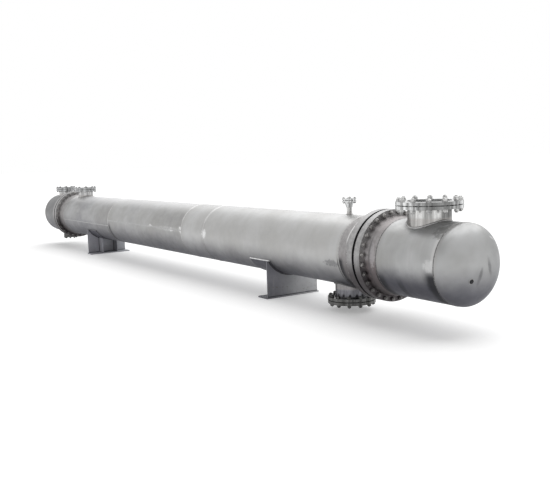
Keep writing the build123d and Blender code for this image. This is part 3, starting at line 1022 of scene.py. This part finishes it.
girth_seam_looks = {
    "head": (dark_seam_finish, narrow_seam_width),
    "hub": (dark_seam_finish, narrow_seam_width),
    "shell": (seam_finish, seam_width),
    "course": (ground_seam_finish, seam_width),
}
for name, x in seam_x.items():
    girth_seam(name + "_seam", x, *girth_seam_looks[name.split("_")[1]])
for name, start, end, angle in (
    ("rear_plate", "rear_shell", "rear_course", -9.3),
    ("middle_plate", "rear_course", "short_course", 5.0),
    ("short_plate", "short_course", "front_course", 150.0),
    ("front_plate", "front_course", "front_shell", 190.0),
    ("front_barrel", "front_hub", "front_head", 175.0),
    ("rear_barrel", "rear_head", "rear_hub", 165.0),
):
    plate_seam(name + "_seam", seam_x[start], seam_x[end], radians(angle))


def nozzle_welds(name):
    """Fillets at a nozzle's foot, where z follows the shell's curve, and at the back of its flange."""
    low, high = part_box(name + "_neck")
    way = nozzles[name][-1]
    pipe_r = (high.y - low.y) / 2
    turn = round_turn(pipe_r)
    radial = np.stack([np.cos(turn), np.sin(turn), 0 * turn], -1)
    side = pipe_r * np.sin(turn)
    drop = np.sqrt(shell_r ** 2 - side ** 2)
    path = np.stack([(low.x + high.x) / 2 + pipe_r * np.cos(turn), side, axis_z + way * drop], -1)
    normal = np.stack([0 * turn, side, way * drop], -1) / shell_r
    flat = radial - (radial * normal).sum(-1, keepdims=True) * normal
    flat /= np.linalg.norm(flat, axis=-1, keepdims=True)
    up = everywhere((0, 0, way), path)
    leg = min(nozzle_weld_leg, nozzle_weld_share * pipe_r)
    look = (True, seam_finish, "neck_stainless")
    swept_bead(name + "_foot_weld", path, up, flat, leg, *look)
    if name != "shell_vent":
        path = pipe_r * radial + np.array(flange_backs[name])
        swept_bead(name + "_collar_weld", path, -up, radial, flange_weld_leg, *look)


for name in nozzles:
    nozzle_welds(name)


def saddle_bead(name, path, first, second, finish=saddle_weld_finish, leg=saddle_weld_leg):
    """An open bead on a saddle."""
    swept_bead(name, path, first, second, leg, False, finish, "saddle_steel")


def straight_fillet(name, start, end, first, second, *look):
    """Fillet along a straight corner between two plates, with its legs along them."""
    start, end = np.array(start), np.array(end)
    share = np.linspace(0, 1, steps_for(np.linalg.norm(end - start)))[:, None]
    path = start + share * (end - start)
    saddle_bead(name, path, everywhere(first, path), everywhere(second, path), *look)


def saddle_welds(end, way, edge_finish):
    """Fillets of one saddle: pad to shell, web to pad, and web and ribs to the base plate."""
    pad_low, pad_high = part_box(end + "_saddle_wear_pad")
    web_low, web_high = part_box(end + "_saddle_web")
    rib_low, rib_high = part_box(end + "_saddle_ribs")
    base_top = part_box(end + "_saddle_base_plate")[1].z
    half = saddle_wrap / 2
    pad_r = shell_r + saddle_pad_thickness
    turn = np.linspace(-half, half, steps_for(2 * half * shell_r))
    radial = np.stack([0 * turn, np.sin(turn), -np.cos(turn)], -1)
    for label, x, side in (("inner", pad_low.x, -1), ("outer", pad_high.x, 1)):
        path = shell_r * radial + np.array([x, 0, axis_z])
        saddle_bead(f"{end}_pad_{label}_weld", path, radial, everywhere((side, 0, 0), path))
    for label, side in (("left", -1), ("right", 1)):
        out = np.array([0, side * sin(half), -cos(half)])
        rise = np.array([0, side * cos(half), sin(half)])
        corner = shell_r * out + np.array([0, 0, axis_z])
        edge = [corner + np.array([x, 0, 0]) for x in (pad_low.x, pad_high.x)]
        straight_fillet(f"{end}_pad_{label}_weld", *edge, out, rise, edge_finish, pad_weld_leg)
    web_radial = radial[np.abs(pad_r * radial[:, 1]) < web_high.y - web_weld_inset]
    for label, x, side in (("low_x", web_low.x, -1), ("high_x", web_high.x, 1)):
        path = pad_r * web_radial + np.array([x, 0, axis_z])
        saddle_bead(f"{end}_web_{label}_weld", path, everywhere((side, 0, 0), path), web_radial)
        foot = [(x, y, base_top) for y in (web_low.y + web_weld_inset, web_high.y - web_weld_inset)]
        straight_fillet(f"{end}_web_foot_{label}_weld", *foot, (side, 0, 0), (0, 0, 1))
    web_face_x = rib_high.x if way > 0 else rib_low.x
    free_end_x = rib_low.x + rib_weld_inset if way > 0 else rib_high.x - rib_weld_inset
    low_x, high_x = sorted((web_face_x, free_end_x))
    for rib, middle in (("left", -saddle_rib_y), ("right", saddle_rib_y)):
        for label, side in (("low_y", -1), ("high_y", 1)):
            y = middle + side * saddle_rib_thickness / 2
            top = axis_z - (pad_r ** 2 - y ** 2) ** 0.5
            name = f"{end}_{rib}_rib_{label}"
            foot = [(low_x, y, base_top), (high_x, y, base_top)]
            straight_fillet(name + "_foot_weld", *foot, (0, side, 0), (0, 0, 1))
            corner = [(web_face_x, y, base_top), (web_face_x, y, top)]
            straight_fillet(name + "_web_weld", *corner, (0, side, 0), (-way, 0, 0))


# the front pad's edge welds carry a painted highlight
saddle_welds("front", 1, pad_edge_finish)
saddle_welds("rear", -1, saddle_weld_finish)


# Drain plug in the front head and its seat, each as radii with levels above the dome

plug_sides = 32
plug_outlines = {
    "head_plug_seat": (((0.023, -0.006), (0.023, 0.001), (0.020, 0.003), (0.016, 0.003)), seam_finish),
    "head_plug": (((0.0170, -0.006), (0.0170, 0.003), (0.0150, 0.005)), plug_finish),
}


def head_plug(side, height):
    """Drain plug in the front head: rings turned about the dome's normal at (side, height) from the axis."""
    head_low, head_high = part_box("front_head")
    tangent_x = head_low.x + head_skirt
    depth = head_high.x - tangent_x
    reach = depth * (1 - (side ** 2 + height ** 2) / shell_r ** 2) ** 0.5
    seat = np.array([tangent_x + reach, side, axis_z + height])
    normal = np.array([reach / depth ** 2, side / shell_r ** 2, height / shell_r ** 2])
    normal /= np.linalg.norm(normal)
    across = np.cross(normal, [0.0, 0.0, 1.0])
    across /= np.linalg.norm(across)
    axes = np.array([across, np.cross(normal, across), normal])
    for name, (outline, finish) in plug_outlines.items():
        radii, levels = np.array(outline).T[:, :, None]
        points = rings_about(radii, levels, plug_sides).reshape(-1, 3) @ axes + seat
        faces = grid_quads(len(outline), plug_sides).tolist()
        faces += end_caps(len(outline), plug_sides).tolist()
        add_piece(name, points, faces, finish, edge_sharp_angle)


head_plug(side=-0.096, height=-0.093)


# Floor, light and camera

floor_rings = (0.0, 10.0, 120.0)
floor_sides = 48
floor_tone = 0.88
floor_glow = 0.30
sun_strength = 2.0
sun_width = radians(80)
sun_way = Vector((-0.22, 0.42, 0.88))
surround_light = 0.45
image_width = 550
focal_pixels = 775.686
film_width = 36.0
camera_turn = (1.0057, 0.1128, 0.0374)
camera_place = Vector((front_joint_x + 4.6717, -4.0268, axis_z + 0.8101))


def shown_white(tree):
    """One for camera, glossy and transmission rays, and zero for the rest."""
    path = add_node(tree, "LightPath")
    shown = maths(tree, "MAXIMUM", path.outputs["Is Camera Ray"], path.outputs["Is Glossy Ray"])
    return maths(tree, "MAXIMUM", shown, path.outputs["Is Transmission Ray"])


def floor_finish():
    """White floor that keeps the object's shadow and shows white to the camera and in reflections."""
    material, tree = new_material("white_floor")
    matt = add_node(tree, "BsdfDiffuse")
    glow = add_node(tree, "Emission")
    both = add_node(tree, "AddShader")
    end = add_node(tree, "OutputMaterial")
    matt.inputs["Color"].default_value = (floor_tone, floor_tone, floor_tone, 1.0)
    tree.links.new(product(tree, shown_white(tree), floor_glow), glow.inputs["Strength"])
    tree.links.new(matt.outputs[0], both.inputs[0])
    tree.links.new(glow.outputs[0], both.inputs[1])
    tree.links.new(both.outputs[0], end.inputs[0])
    return material


def add_floor():
    """Round floor under the object: a fan of rings from the middle to the rim."""
    radii = np.array(floor_rings)[:, None]
    points = rings_about(radii, 0 * radii, floor_sides).reshape(-1, 3)
    mesh = bpy.data.meshes.new("floor")
    mesh.from_pydata(points.tolist(), [], grid_quads(len(radii), floor_sides).tolist())
    mesh.materials.append(floor_finish())
    floor = new_object("floor", mesh)


def add_lights():
    """Broad soft light from above and behind, with a white surround."""
    sun = bpy.data.lights.new("overhead", "SUN")
    sun.energy = sun_strength
    sun.angle = sun_width
    new_object("overhead", sun).rotation_euler = sun_way.to_track_quat("Z", "Y").to_euler()
    world = bpy.data.worlds.new("surround")
    scene.world = world
    world.use_nodes = True
    tree = world.node_tree
    glow = tree.nodes["Background"]
    glow.inputs["Color"].default_value = (1.0, 1.0, 1.0, 1.0)
    tree.links.new(ease(tree, shown_white(tree), 0.0, 1.0, surround_light, 1.0), glow.inputs["Strength"])


def add_camera():
    """Camera at the photograph's place: yaw and pitch of its line of sight, then its roll."""
    yaw, pitch, roll = camera_turn
    ahead = Vector((-sin(yaw) * cos(pitch), cos(yaw) * cos(pitch), -sin(pitch)))
    level = Vector((cos(yaw), sin(yaw), 0))
    down = ahead.cross(level)
    right = cos(roll) * level + sin(roll) * down
    below = -sin(roll) * level + cos(roll) * down
    lens = bpy.data.cameras.new("camera")
    lens.sensor_fit = "HORIZONTAL"
    lens.sensor_width = film_width
    lens.lens = focal_pixels / image_width * film_width
    lens.clip_end = 500.0
    scene.camera = new_object("camera", lens)
    turn = Matrix((right, -below, -ahead)).transposed()
    scene.camera.matrix_world = Matrix.Translation(camera_place) @ turn.to_4x4()


add_floor()
add_lights()
add_camera()
scene.view_settings.view_transform = "Standard"
